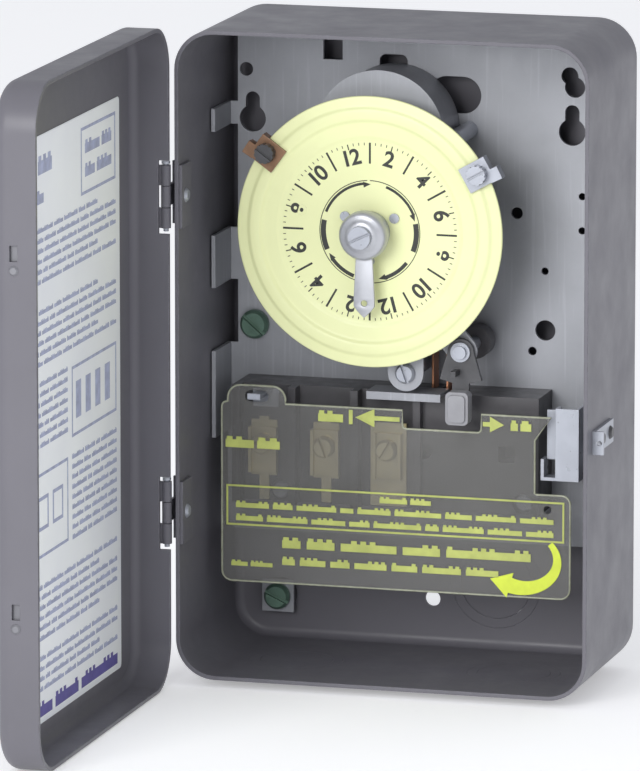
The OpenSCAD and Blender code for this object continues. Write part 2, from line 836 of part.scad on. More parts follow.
module terminal_clamps() {
    color([0.82, 0.76, 0.55]) difference() {
        for (x = terminals) {
            block(x - 4.4, x + 4.4, strap_f + 1, strap_f + 2.2, -41, -27);
            for (side = [-1, 1])
                block(x + side * 3.9 - 0.5, x + side * 3.9 + 0.5, strap_f + 1, strap_f + 3.4, -41, -27);
        }
        for (x = terminals) rod(x, -32, 20, 35, 1.9);
    }
}

module terminal_screws() {
    color([0.8, 0.76, 0.6]) for (i = [0 : 2]) {
        rod(terminals[i], -32, 19, strap_f + 2.2, 1.85);
        screw_head(terminals[i], -32, strap_f + 2.2, 3.3, 3, 20 + 50 * i);
    }
}

// Guard over the contacts, with a lip that faces forward
module contact_guard() {
    color([0.62, 0.62, 0.65]) {
        block(-12, 11, 23.2, 34, block_top, block_top + 0.8);
        block(-12, 11, 33.2, 34, block_top - 1.6, block_top + 0.8);
    }
}

module insulator_hook() {
    color([0.7, 0.7, 0.72]) translate([hook_x, 0, 0]) {
        block(-4, 4, block_f - 2, block_f - 1.2, hook_z - 5, hook_z + 0.5);
        block(-2, 2, block_f - 2, 40, hook_z - 0.5, hook_z + 0.5);
        block(-2, 2, 39.2, 40, hook_z - 0.5, hook_z + 1.3);
        translate([-2, -insulator_f + 0.5, hook_z]) rotate([0, 90, 0]) cylinder(h = 4, r = 0.7);
    }
}

// Clear sheet over the terminals, with a bump that hangs on the hook
module insulator() {
    color([0.55, 0.57, 0.45, 0.55]) slab(insulator_f - 1, insulator_f) difference() {
        union() {
            round_rect(-56.4, 52, -73, -41.5, 3);
            round_rect(-56.4, 41, -60, -18, 1.5);
            polygon([[36, -18], [36, -26.4], [40, -26.4], [46, -18]]);
            round_rect(hook_x - 9, hook_x + 9, -24, -12.8, 4);
        }
        pill(hook_x - 2, hook_z, hook_x + 2, hook_z, 1.75);
        round_rect(0, 24.5, -23.6, -10, 1.5);
        translate([45, -46]) circle(1.2);
    }
}

// ---------- door ----------

door_w = case_w + 2 * (door_gap + sheet);
door_h = case_h + 2 * (door_gap + sheet);

module door_shell() {
    color([0.42, 0.42, 0.45]) swung_open() difference() {
        translate([0, -door_front, 0]) rotate([-90, 0, 0])
            tray_shell(door_w, door_h, flange_d, corner_r + door_gap + sheet, edge_r);
        for (z = [-52, 52])
            block(flange_out - sheet - 1, flange_out + 1, rim_f + 5.6, rim_f + 8, z - 2, z + 2.6);
        for (z = [-52, 52]) translate([flange_out - sheet - 1, -rim_f - 6.8, z - 4.6])
            rotate([0, 90, 0]) cylinder(h = sheet + 2, r = 0.9);
        for (z = [-1, 1] * hinge_z)
            block(-flange_out - 1, -flange_out + sheet + 1, rim_f - 1, pin_f + 1.8,
                z - hinge_h / 2 - 1.6, z + hinge_h / 2 + 1.6);
    }
}

// Spring catches behind the flange's slots, each held by one rivet
module door_catches() {
    inner = flange_out - sheet;
    color([0.55, 0.55, 0.57]) swung_open() for (z = [-52, 52]) {
        block(inner - 0.8, inner, rim_f + 3.4, door_front - edge_r - 0.1, z - 6.6, z + 5);
        block(inner - 1.5, inner - 0.7, rim_f + 5.8, rim_f + 7.8, z - 1.6, z + 2.2);
        translate([inner - 0.1, -rim_f - 6.8, z - 4.6]) rotate([0, 90, 0])
            cylinder(h = sheet + 0.1, r = 0.85);
        translate([flange_out, -rim_f - 6.8, z - 4.6]) rotate([0, 90, 0])
            cylinder(h = 0.5, r1 = 1.5, r2 = 0.9);
    }
}

// Each door leaf is welded to the outside of the flange, with its knuckles in a notch
module door_leaf(z) {
    third = hinge_h / 6;
    low = z - hinge_h / 2;
    high = z + hinge_h / 2;
    difference() {
        union() {
            block(-flange_out - leaf_t, -flange_out, pin_f, pin_f + 9.5, low, high);
            for (end = [low, z + third + 0.2])
                translate([pin_x, -pin_f, end]) cylinder(h = 2 * third - 0.2, r = knuckle_r);
        }
        block(-flange_out - 5, -flange_out + 1, rim_f, pin_f + 6, z - third - 0.2, z + third + 0.2);
        translate([pin_x, -pin_f, low - 1]) cylinder(h = hinge_h + 2, r = pin_r + fit);
    }
}

module door_hinge_leaves() {
    color([0.6, 0.6, 0.63]) swung_open() for (z = [-1, 1] * hinge_z) door_leaf(z);
}

module door_label() {
    color([0.86, 0.88, 0.93]) swung_open()
        slab(door_front - sheet - 0.25, door_front - sheet) round_rect(-52, 52, -93, 80, 1.5);
}

case_shell();
knockout_rings();
knockout_slugs();
case_hinge_leaves();
hinge_pins();
hinge_rivets();
hasp_bracket();
hasp_rivets();
ground_boss();
ground_washer();
ground_screw();
mechanism_plate();
plate_screw();
plate_boss();
spring_clip();
clip_screw();
motor_posts();
motor_can();
motor_coil();
motor_rotor();
reduction_gearbox();
motor_lid();
motor_screws();
drive_pinion();
bridge_pillars();
bridge_plate();
bridge_screws();
dial_post();
dial_sleeve();
sleeve_ring();
dial_hub();
dial_gear();
dial_face();
dial_rivets();
dial_spring();
time_pointer();
pointer_screw();
on_tripper();
on_tripper_screw();
off_tripper();
off_tripper_screw();
trip_lever();
lever_knob();
lever_shaft();
shaft_ring();
switch_cam();
moving_contact();
fixed_contact();
terminal_block();
block_screws();
terminal_straps();
terminal_clamps();
terminal_screws();
contact_guard();
insulator_hook();
insulator();
door_shell();
door_catches();
door_hinge_leaves();
door_label();
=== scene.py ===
import json
import math

import bmesh
import bpy
from mathutils import Matrix, Vector


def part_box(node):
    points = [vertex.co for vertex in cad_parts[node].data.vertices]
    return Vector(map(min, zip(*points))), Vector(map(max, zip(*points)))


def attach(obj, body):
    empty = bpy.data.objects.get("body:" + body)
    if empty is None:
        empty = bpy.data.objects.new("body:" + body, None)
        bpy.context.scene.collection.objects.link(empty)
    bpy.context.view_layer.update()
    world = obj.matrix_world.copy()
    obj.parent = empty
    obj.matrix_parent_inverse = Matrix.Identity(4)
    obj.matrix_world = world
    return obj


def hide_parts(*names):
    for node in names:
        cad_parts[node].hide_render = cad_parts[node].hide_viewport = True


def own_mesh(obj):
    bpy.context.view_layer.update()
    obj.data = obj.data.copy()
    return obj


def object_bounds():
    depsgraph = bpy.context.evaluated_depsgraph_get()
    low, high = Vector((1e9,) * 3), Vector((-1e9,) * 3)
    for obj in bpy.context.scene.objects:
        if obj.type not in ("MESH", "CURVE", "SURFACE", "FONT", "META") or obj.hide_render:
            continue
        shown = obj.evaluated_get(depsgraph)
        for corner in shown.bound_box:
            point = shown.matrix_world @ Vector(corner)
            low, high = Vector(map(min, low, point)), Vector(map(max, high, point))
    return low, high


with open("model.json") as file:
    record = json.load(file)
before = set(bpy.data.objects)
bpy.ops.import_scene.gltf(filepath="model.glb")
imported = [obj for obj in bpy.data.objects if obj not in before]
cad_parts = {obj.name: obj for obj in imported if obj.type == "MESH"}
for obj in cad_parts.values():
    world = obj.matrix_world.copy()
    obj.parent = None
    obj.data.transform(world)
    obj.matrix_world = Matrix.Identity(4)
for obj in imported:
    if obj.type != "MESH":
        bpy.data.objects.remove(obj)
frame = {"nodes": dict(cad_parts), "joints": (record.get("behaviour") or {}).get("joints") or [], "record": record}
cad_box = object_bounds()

MM = 0.001
NODES = frame["nodes"]

JOINTS = {j["name"]: j for j in frame["joints"]}

# Places from the CAD model, in millimetres, but DOOR_PIN in metres; "f" is the distance from the wall.
# DIAL_F is the dial's flat front, SHEET_F the insulating sheet's front, and LABEL_F where the label
# meets the closed door.
DIAL = (JOINTS["dial_spin"]["pos_m"][0] / MM, JOINTS["dial_spin"]["pos_m"][2] / MM)
DIAL_F = 43.2
SHEET_F = -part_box("insulator")[0][1] / MM
DOOR_PIN = JOINTS["door_hinge"]["pos_m"]
LABEL_F = -(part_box("door_label")[0][0] - DOOR_PIN[0] + DOOR_PIN[1]) / MM


# ---------- building meshes ----------

def at(x, f, z):
    """A point in the frame, in metres, from millimetres."""
    return Vector((x, -f, z)) * MM


def add(name, mesh, material, body, replaces=(), smooth=35):
    """Makes a piece from a mesh, smooths it, and hangs it on a body."""
    piece = bpy.data.objects.new(name, mesh)
    bpy.context.scene.collection.objects.link(piece)
    mesh.polygons.foreach_set("use_smooth", [True] * len(mesh.polygons))
    mesh.set_sharp_from_angle(angle=math.radians(smooth))
    mesh.materials.clear()
    mesh.materials.append(material)
    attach(piece, body)
    if replaces:
        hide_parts(*replaces)
    return piece


def mesh_of(name, vertices, faces):
    """A mesh with its doubled points joined and all its faces turned outwards."""
    mesh = bpy.data.meshes.new(name)
    mesh.from_pydata(vertices, [], faces)
    mesh.validate()
    bm = bmesh.new()
    bm.from_mesh(mesh)
    bmesh.ops.remove_doubles(bm, verts=bm.verts, dist=1e-7)
    bmesh.ops.recalc_face_normals(bm, faces=bm.faces)
    bm.to_mesh(mesh)
    bm.free()
    return mesh


def lathe(name, centre, profile, segments=160):
    """Spins a closed profile of (radius, f) points about the Y axis through centre."""
    vertices, faces = [], []
    count = len(profile)
    for i in range(segments):
        a = 2 * math.pi * i / segments
        for r, f in profile:
            vertices.append(at(centre[0] + r * math.cos(a), f, centre[1] + r * math.sin(a)))
    for i in range(segments):
        j = (i + 1) % segments
        for k in range(count):
            m = (k + 1) % count
            faces.append((i * count + k, i * count + m, j * count + m, j * count + k))
    return mesh_of(name, vertices, faces)


def outline(name, loops, depth, thick, edge=0.0, place=None):
    """Fills flat loops of (x, z) points, holes included, into a plate with rounded edges.
    depth is the f of its front face."""
    curve = bpy.data.curves.new(name, "CURVE")
    curve.dimensions = "2D"
    curve.fill_mode = "BOTH"
    curve.extrude = max(thick / 2 - edge, 0.001) * MM
    curve.bevel_depth = edge * MM
    curve.bevel_resolution = 2
    curve.offset = -edge * MM
    for loop in loops:
        spline = curve.splines.new("POLY")
        spline.points.add(len(loop) - 1)
        for point, (x, z) in zip(spline.points, loop):
            point.co = (x * MM, z * MM, 0, 1)
        spline.use_cyclic_u = True
    return flat_to_mesh(name, curve, depth - thick / 2, place)


def flat_to_mesh(name, curve, depth, place=None):
    """Turns a flat curve or text into a mesh that faces the front at a depth."""
    holder = bpy.data.objects.new(name + "_curve", curve)
    bpy.context.scene.collection.objects.link(holder)
    depsgraph = bpy.context.evaluated_depsgraph_get()
    mesh = bpy.data.meshes.new_from_object(holder.evaluated_get(depsgraph))
    bpy.data.objects.remove(holder)
    bpy.data.curves.remove(curve)
    turn = place or Matrix.Identity(4)
    for vertex in mesh.vertices:
        x, y, z = vertex.co
        vertex.co = turn @ Vector((x, -depth * MM - z, y))
    bm = bmesh.new()
    bm.from_mesh(mesh)
    bmesh.ops.remove_doubles(bm, verts=bm.verts, dist=1e-7)
    bmesh.ops.recalc_face_normals(bm, faces=bm.faces)
    bm.to_mesh(mesh)
    bm.free()
    mesh.name = name
    return mesh


def tiles(name, shapes, depth, thick):
    """Thin raised shapes, each a convex loop of (x, z) points, that stand behind depth f."""
    vertices, faces = [], []
    for shape in shapes:
        first, count = len(vertices), len(shape)
        vertices += [at(x, depth, z) for x, z in shape] + [at(x, depth - thick, z) for x, z in shape]
        faces.append(tuple(range(first, first + count)))
        faces.append(tuple(range(first + count, first + 2 * count)))
        for i in range(count):
            j = (i + 1) % count
            faces.append((first + i, first + j, first + count + j, first + count + i))
    return mesh_of(name, vertices, faces)


def frame_of(x0, x1, z0, z1, line):
    """Four strips round a rectangle."""
    return [[(x0, z0), (x1, z0), (x1, z0 + line), (x0, z0 + line)],
            [(x0, z1 - line), (x1, z1 - line), (x1, z1), (x0, z1)],
            [(x0, z0 + line), (x0 + line, z0 + line), (x0 + line, z1 - line), (x0, z1 - line)],
            [(x1 - line, z0 + line), (x1, z0 + line), (x1, z1 - line), (x1 - line, z1 - line)]]


# Shares that shape a word-like bar: its even body, a letter's width, and where a tall stem stands in it
BODY, LETTER_WIDE, STEM_FROM, STEM_WIDE = 0.72, 0.75, 0.12, 0.62


def words(x0, x1, z0, z1, lengths, gap):
    """A row of word-like bars with uneven tops, which stand for print and say nothing."""
    shapes = []
    height = z1 - z0
    usable = x1 - x0 - gap * (len(lengths) - 1)
    x = x0
    for number, length in enumerate(lengths):
        width = usable * length / sum(lengths)
        body = z0 + height * BODY
        shapes.append([(x, z0), (x + width, z0), (x + width, body), (x, body)])
        count = max(int(width / (height * LETTER_WIDE)), 1)
        pitch = width / count
        for i in range(count):
            if (i * 7 + number * 3) % 5 in (0, 2, 3):
                left = x + i * pitch + pitch * STEM_FROM
                right = left + pitch * STEM_WIDE
                shapes.append([(left, body), (right, body), (right, z1), (left, z1)])
        x += width + gap
    return shapes


def arc(x, z, r, a0, a1, steps=10):
    """Points on a circle about (x, z), between two angles in degrees."""
    return [(x + r * math.cos(math.radians(a0 + (a1 - a0) * i / steps)),
             z + r * math.sin(math.radians(a0 + (a1 - a0) * i / steps))) for i in range(steps + 1)]


def disc(x, z, r, steps=32):
    return arc(x, z, r, 0, 360 - 360 / steps, steps - 1)


def rounded(x0, x1, z0, z1, r):
    return (arc(x0 + r, z0 + r, r, 180, 270, 6) + arc(x1 - r, z0 + r, r, 270, 360, 6)
            + arc(x1 - r, z1 - r, r, 0, 90, 6) + arc(x0 + r, z1 - r, r, 90, 180, 6))


def oblong(x0, x1, z, r):
    return arc(x0, z, r, 90, 270, 12) + arc(x1, z, r, -90, 90, 12)


def swept(name, points, radius, sides=10, closed=False):
    """A round wire along a path of points."""
    vertices, faces = [], []
    count = len(points)
    for i, point in enumerate(points):
        ahead = points[(i + 1) % count] if closed or i < count - 1 else point
        behind = points[i - 1] if closed or i else point
        along = (ahead - behind).normalized()
        side = along.cross(Vector((0, 1, 0)))
        if side.length < 1e-3:
            side = along.cross(Vector((1, 0, 0)))
        side.normalize()
        up = side.cross(along)
        for k in range(sides):
            a = 2 * math.pi * k / sides
            vertices.append(point + (side * math.cos(a) + up * math.sin(a)) * radius)
    for i in range(count if closed else count - 1):
        j = (i + 1) % count
        for k in range(sides):
            m = (k + 1) % sides
            faces.append((i * sides + k, i * sides + m, j * sides + m, j * sides + k))
    if not closed:
        faces.append(tuple(range(sides)))
        faces.append(tuple((count - 1) * sides + k for k in range(sides)))
    return mesh_of(name, vertices, faces)


# ---------- materials ----------

def node(tree, kind, **settings):
    """Adds a shader node. A setting is one of its properties, or else an input, with _ for a space."""
    made = tree.nodes.new(kind)
    for key, value in settings.items():
        if hasattr(made, key):
            setattr(made, key, value)
        else:
            made.inputs[key.replace("_", " ")].default_value = value
    return made


def noise(tree, coords, scale, detail=4.0, rough=0.55, stretch=None):
    """Noise through the object, drawn out along an axis where stretch is small."""
    made = node(tree, "ShaderNodeTexNoise", Scale=scale, Detail=detail, Roughness=rough)
    source = coords
    if stretch:
        mapping = node(tree, "ShaderNodeMapping", Scale=stretch)
        tree.links.new(coords, mapping.inputs["Vector"])
        source = mapping.outputs["Vector"]
    tree.links.new(source, made.inputs["Vector"])
    return made.outputs["Fac"]


def spread(tree, value, low, high, from_low=0.3, from_high=0.7):
    """Stretches a range of a value over another range."""
    made = node(tree, "ShaderNodeMapRange", From_Min=from_low, From_Max=from_high,
                To_Min=low, To_Max=high)
    tree.links.new(value, made.inputs["Value"])
    return made.outputs["Result"]


def mixed(tree, fac, a, b):
    """Colour a, turned towards colour b by fac. Each is a fixed value or another node's output."""
    made = node(tree, "ShaderNodeMix", data_type="RGBA", blend_type="MIX")
    for socket, value in ((0, fac), (6, a), (7, b)):
        if hasattr(value, "links"):
            tree.links.new(value, made.inputs[socket])
        else:
            made.inputs[socket].default_value = value
    return made.outputs[2]


def finish(name, colour, rough, metallic=0.0, change=0.10, patch=45.0, grain=0.02, grain_size=1600.0,
           edge=None, round_by=0.25, stretch=None, specular=0.5, coat=0.0, alpha=1.0, corner_shade=0.25,
           rough_change=0.08, scratches=0.0):
    """A procedural finish: patchy colour, fine grain, softened edges with wear, painted shade in corners."""
    material = bpy.data.materials.new(name)
    material.use_nodes = True
    tree = material.node_tree
    shader = tree.nodes["Principled BSDF"]
    coords = node(tree, "ShaderNodeTexCoord").outputs["Object"]
    dark = tuple(c * (1 - change) for c in colour) + (1,)
    light = tuple(min(c * (1 + change), 1.0) for c in colour) + (1,)
    patches = noise(tree, coords, patch, 6.0, 0.6, stretch)
    tint = mixed(tree, spread(tree, patches, 0, 1), dark, light)
    # Painted shade: the colour is darkened where ambient occlusion finds corners and crevices.
    if corner_shade:
        hidden = node(tree, "ShaderNodeAmbientOcclusion", samples=4, Distance=0.004)
        shade_colour = tuple(c * 0.45 for c in colour) + (1,)
        tint = mixed(tree, spread(tree, hidden.outputs["AO"], corner_shade, 0, 0.25, 0.85), tint, shade_colour)
    rounded_normal = node(tree, "ShaderNodeBevel", samples=4, Radius=round_by * MM)
    # Lighter colour on edges: wear on most finishes, and a painted highlight on the clear sheet's cut edges.
    if edge:
        geometry = node(tree, "ShaderNodeNewGeometry")
        facing = node(tree, "ShaderNodeVectorMath", operation="DOT_PRODUCT")
        tree.links.new(rounded_normal.outputs["Normal"], facing.inputs[0])
        tree.links.new(geometry.outputs["Normal"], facing.inputs[1])
        edge_wear_and_highlight = spread(tree, facing.outputs["Value"], 1, 0, 0.80, 0.985)
        broken = noise(tree, coords, 380.0, 5.0, 0.65)
        amount = node(tree, "ShaderNodeMath", operation="MULTIPLY")
        tree.links.new(edge_wear_and_highlight, amount.inputs[0])
        tree.links.new(spread(tree, broken, 0, edge[3], 0.42, 0.62), amount.inputs[1])
        tint = mixed(tree, amount.outputs["Value"], tint, tuple(edge[:3]) + (1,))
    fine = noise(tree, coords, grain_size, 3.0, 0.6, stretch)
    if scratches:
        lines = noise(tree, coords, 900.0, 2.0, 0.5, (1.0, 1.0, 0.04))
        tint = mixed(tree, spread(tree, lines, 0, scratches, 0.58, 0.70), tint,
                     tuple(min(c * 1.5, 1.0) for c in colour) + (1,))
    bump = node(tree, "ShaderNodeBump", Strength=0.6, Distance=grain * MM)
    tree.links.new(fine, bump.inputs["Height"])
    tree.links.new(rounded_normal.outputs["Normal"], bump.inputs["Normal"])
    tree.links.new(bump.outputs["Normal"], shader.inputs["Normal"])
    tree.links.new(tint, shader.inputs["Base Color"])
    blotches = noise(tree, coords, patch * 4, 4.0, 0.6)
    tree.links.new(spread(tree, blotches, max(rough - rough_change, 0.03), min(rough + rough_change, 1)),
                   shader.inputs["Roughness"])
    shader.inputs["Metallic"].default_value = metallic
    shader.inputs["Specular IOR Level"].default_value = specular
    shader.inputs["Coat Weight"].default_value = coat
    shader.inputs["Coat Roughness"].default_value = 0.25
    if alpha < 1:
        shader.inputs["Alpha"].default_value = alpha
    return material


ENAMEL = (0.150, 0.146, 0.166)
materials = {
    "enamel_grey": finish("enamel_grey", ENAMEL, 0.40, change=0.07, patch=16, grain=0.018,
                          grain_size=900, edge=(0.34, 0.34, 0.37, 0.55), round_by=0.5, specular=0.32),
    "zinc_plate": finish("zinc_plate", (0.37, 0.38, 0.41), 0.46, metallic=0.25, change=0.13, patch=38,
                         grain=0.012, grain_size=2200, edge=(0.72, 0.72, 0.76, 0.7), scratches=0.25),
    "zinc_part": finish("zinc_part", (0.41, 0.43, 0.48), 0.34, metallic=0.45, change=0.10, patch=90,
                        grain=0.010, grain_size=2600, edge=(0.85, 0.86, 0.9, 0.8), round_by=0.2),
    "dark_steel": finish("dark_steel", (0.09, 0.09, 0.095), 0.42, metallic=0.6, change=0.2, patch=120,
                         edge=(0.32, 0.32, 0.33, 0.7), round_by=0.2),
    "dial_yellow": finish("dial_yellow", (0.82, 0.85, 0.47), 0.38, change=0.035, patch=28, grain=0.006,
                          grain_size=1800, edge=(0.98, 0.98, 0.80, 0.6), round_by=0.35, corner_shade=0.12,
                          specular=0.45),
    "pointer_metal": finish("pointer_metal", (0.47, 0.48, 0.51), 0.36, metallic=0.50, change=0.08,
                            patch=130, edge=(0.92, 0.93, 0.95, 0.7), round_by=0.25),
    "brass": finish("brass", (0.86, 0.76, 0.44), 0.36, metallic=0.45, change=0.14, patch=110,
                    edge=(0.82, 0.70, 0.40, 0.7), round_by=0.2),
    "bronze": finish("bronze", (0.26, 0.15, 0.09), 0.38, metallic=0.6, change=0.2, patch=150,
                     edge=(0.62, 0.46, 0.36, 0.8), round_by=0.25),
    "copper": finish("copper", (0.58, 0.27, 0.15), 0.34, metallic=0.85, change=0.15, patch=140,
                     edge=(0.85, 0.6, 0.45, 0.6), round_by=0.15),
    "bakelite": finish("bakelite", (0.075, 0.072, 0.078), 0.36, change=0.20, patch=60, grain=0.03,
                       grain_size=700, edge=(0.17, 0.17, 0.18, 0.5), round_by=0.35),
    "knob_grey": finish("knob_grey", (0.30, 0.30, 0.32), 0.45, change=0.12, patch=90, grain=0.02,
                        grain_size=1100, edge=(0.46, 0.46, 0.48, 0.5), round_by=0.4),
    "label_paper": finish("label_paper", (0.93, 0.95, 1.0), 0.55, change=0.05, patch=20, grain=0.02,
                          grain_size=2500, round_by=0.1, corner_shade=0.15, specular=0.35),
    "green_screw": finish("green_screw", (0.13, 0.22, 0.17), 0.36, metallic=0.45, change=0.2,
                          patch=200, edge=(0.40, 0.45, 0.42, 0.7), round_by=0.2),
    "coil_wire": finish("coil_wire", (0.36, 0.13, 0.05), 0.30, metallic=0.3, change=0.15, patch=150,
                        coat=0.4),
    "magnet": finish("magnet", (0.06, 0.06, 0.065), 0.5, metallic=0.4, change=0.2, patch=150),
    # The clear sheet's pale edge colour is a painted highlight along its cut edges.
    "clear_sheet": finish("clear_sheet", (0.205, 0.202, 0.195), 0.20, change=0.10, patch=30,
                          grain=0.010, grain_size=400, alpha=0.40, corner_shade=0.0,
                          edge=(0.55, 0.57, 0.46, 0.9), round_by=0.45, rough_change=0.06),
    # A pale colour for the painted highlight bead along the sheet's cut edge.
    "sheet_edge_highlight": finish("sheet_edge_highlight", (0.44, 0.46, 0.34), 0.28, change=0.14, patch=160, grain=0.008,
                         corner_shade=0.0, alpha=0.8, round_by=0.1),
}
catch_steel = finish("catch_steel", (0.21, 0.21, 0.23), 0.40, metallic=0.35, change=0.12, patch=140,
                     edge=(0.40, 0.40, 0.43, 0.5), round_by=0.15)
ink_black = finish("ink_black", (0.030, 0.032, 0.028), 0.5, change=0.25, patch=300, corner_shade=0.0)
ink_blue = finish("ink_blue", (0.42, 0.45, 0.62), 0.6, change=0.2, patch=300, corner_shade=0.0)
ink_violet = finish("ink_violet", (0.13, 0.11, 0.36), 0.6, change=0.15, patch=200, corner_shade=0.0)
ink_lime = finish("ink_lime", (0.48, 0.53, 0.14), 0.45, change=0.14, patch=220, corner_shade=0.0)
ink_bright = finish("ink_bright", (0.68, 0.80, 0.06), 0.40, change=0.10, patch=160, corner_shade=0.0)


# ---------- CAD nodes that stay ----------

SLOT_OF = {s["node"]: s["material_slot"] for s in frame["record"]["subparts"]}
# The door's catches are duller than the other zinc parts
OWN_FINISH = {"door_catches": catch_steel}
for name, piece in NODES.items():
    piece.data.materials.clear()
    piece.data.materials.append(OWN_FINISH.get(name) or materials[SLOT_OF[name]])
    weld = piece.modifiers.new("weld", "WELD")
    weld.merge_threshold = 2e-6
    split = piece.modifiers.new("split", "EDGE_SPLIT")
    split.split_angle = math.radians(28)
    piece.data.polygons.foreach_set("use_smooth", [True] * len(piece.data.polygons))


# ---------- dial ----------

def dial_spot(r, angle):
    """A place on the dial: angle clockwise from straight up."""
    a = math.radians(90 - angle)
    return DIAL[0] + r * math.cos(a), DIAL[1] + r * math.sin(a)


# The dial's section as (radius, height over DIAL_F): its front from the hub out, its back from the rim in
front = [(6.2, 0.0), (13.0, 0.0), (27.2, 0.0), (27.7, 0.05), (28.2, 0.22), (28.7, 0.44), (29.2, 0.5),
         (32.6, 0.5), (33.1, 0.56), (33.5, 0.85), (33.9, 1.18), (34.4, 1.3), (36.5, 1.3), (37.0, 1.22),
         (37.4, 0.95), (37.8, 0.68), (38.3, 0.6), (40.6, 0.6), (40.85, 0.54), (41.0, 0.3)]
back = [(41.0, 0.0), (40.85, -0.16), (40.6, -0.2), (38.2, -0.2), (37.3, 0.02), (36.6, 0.5), (34.2, 0.5),
        (33.4, 0.1), (32.9, -0.3), (29.0, -0.3), (28.4, -0.5), (27.6, -0.8), (6.2, -0.8)]
profile = [(r, DIAL_F + f) for r, f in front + back]
add("dial_disc", lathe("dial_disc", DIAL, profile, 192), materials["dial_yellow"], "dial",
    ["dial_face"], smooth=50)


def band(r0, r1, a0, a1):
    """Outline of a ring sector on the dial, angles clockwise from straight up."""
    steps = max(int(abs(a1 - a0) / 3), 2)
    outer = [dial_spot(r1, a0 + (a1 - a0) * i / steps) for i in range(steps + 1)]
    inner = [dial_spot(r0, a1 + (a0 - a1) * i / steps) for i in range(steps + 1)]
    return outer + inner


PRINT = 0.04
# 96 ticks: a long one every two hours, a middle one every hour, a short one every quarter
ticks = []
for i in range(96):
    angle = i * 3.75
    if i % 8 == 0:
        r0, r1, half = 20.6, 26.9, 0.30
    elif i % 4 == 0:
        r0, r1, half = 25.2, 26.9, 0.17
    else:
        r0, r1, half = 26.1, 26.9, 0.11
    turn = math.degrees(half / r1)
    ticks.append([dial_spot(r0, angle - turn * r1 / r0), dial_spot(r1, angle - turn),
                  dial_spot(r1, angle + turn), dial_spot(r0, angle + turn * r1 / r0)])
add("dial_ticks", outline("dial_ticks", ticks, DIAL_F + PRINT, PRINT), ink_black, "dial")

# A thin ring with arcs and arrowheads inside it, and a second ring further out
marks = [band(15.35, 15.6, 0, 357), band(14.2, 15.0, 292, 352), band(14.2, 15.0, 20, 66),
         band(13.6, 15.2, 78, 112), band(13.9, 15.0, 128, 160), band(13.6, 15.2, 246, 282),
         band(13.9, 15.0, 200, 232)]
for angle in (352, 66, 160, 232):
    marks.append([dial_spot(13.4, angle), dial_spot(15.2, angle), dial_spot(14.4, angle + 9)])
marks.append(band(29.9, 30.15, 0, 357))
add("dial_arcs", outline("dial_arcs", marks, DIAL_F + PRINT, PRINT), ink_black, "dial")


# Their radius and size on the dial, and how much their outlines are thickened
NUMBER_R, NUMBER_SIZE, BOLD = 22.6, 6.6, 0.16


def printed_number(name, text, size, x, z, turn, depth):
    """A bold number lying on the dial, turned clockwise by an angle in degrees."""
    curve = bpy.data.curves.new(name, "FONT")
    curve.body = text
    curve.size = size * MM
    curve.align_x = "CENTER"
    curve.align_y = "CENTER"
    curve.offset = BOLD * MM
    curve.extrude = PRINT / 2 * MM
    curve.space_character = 0.88
    place = Matrix.Translation(at(x, 0, z)) @ Matrix.Rotation(math.radians(turn), 4, "Y")
    return flat_to_mesh(name, curve, depth, place)


# Every second hour, 2 to 12 twice round
for k in range(12):
    angle = 15 + 30 * k
    x, z = dial_spot(NUMBER_R, angle)
    number = (2 * k) % 12 + 2
    mesh = printed_number("dial_number", str(number), NUMBER_SIZE, x, z, angle, DIAL_F + PRINT / 2)
    add(f"dial_number_{k:02d}", mesh, ink_black, "dial")

# The spring between the sleeve and the pointer's cap, as one coiled wire
TURNS, STEPS = 4, 28
WIRE, SPRING_R = 0.2, 3.4
SPRING_LOW, SPRING_HIGH = 46.5, 51.6
start, end = SPRING_LOW + WIRE, SPRING_HIGH - WIRE
path = []
for i in range(TURNS * STEPS + 1):
    a = 2 * math.pi * i / STEPS
    path.append(at(DIAL[0] + SPRING_R * math.cos(a), start + (end - start) * i / (TURNS * STEPS),
                   DIAL[1] + SPRING_R * math.sin(a)))
spring = add("spring_coil", swept("spring_coil", path, WIRE * MM, 8), materials["zinc_part"], "case",
             ["dial_spring"])
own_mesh(spring)

# Pointer: a domed cap with a raised rim, and an arm with a rolled edge
cap = [(1.1, 53.6), (2.6, 53.6), (3.6, 53.6), (4.2, 53.5), (4.7, 53.2), (5.4, 52.75), (6.2, 52.6),
       (6.7, 52.35), (7.1, 51.8), (7.38, 51.0), (7.4, 50.4), (7.4, 48.6), (7.3, 48.4), (6.8, 48.4),
       (6.7, 48.6), (6.7, 51.6), (1.1, 51.6)]
bm = bmesh.new()
bm.from_mesh(lathe("pointer_cap", DIAL, cap, 96))
arm = [(-2.6, -6.9), (-3.2, -19.0), (-3.2, -21.5), (-2.2, -22.9), (-0.9, -24.2), (0.0, -25.0),
       (0.9, -24.2), (2.2, -22.9), (3.2, -21.5), (3.2, -19.0), (2.6, -6.9)]
arm_loop = [(DIAL[0] + x, DIAL[1] + z) for x, z in arm]
slot_loop = [(DIAL[0] + x, DIAL[1] + z) for x, z in oblong(-0.05, 0.05, -20.6, 0.9)]
bm.from_mesh(outline("pointer_arm", [arm_loop, slot_loop], 49.8, 1.0, 0.18))
pointer = bpy.data.meshes.new("pointer")
bm.to_mesh(pointer)
bm.free()
add("pointer", pointer, materials["pointer_metal"], "case", ["time_pointer"])


# ---------- insulating sheet ----------

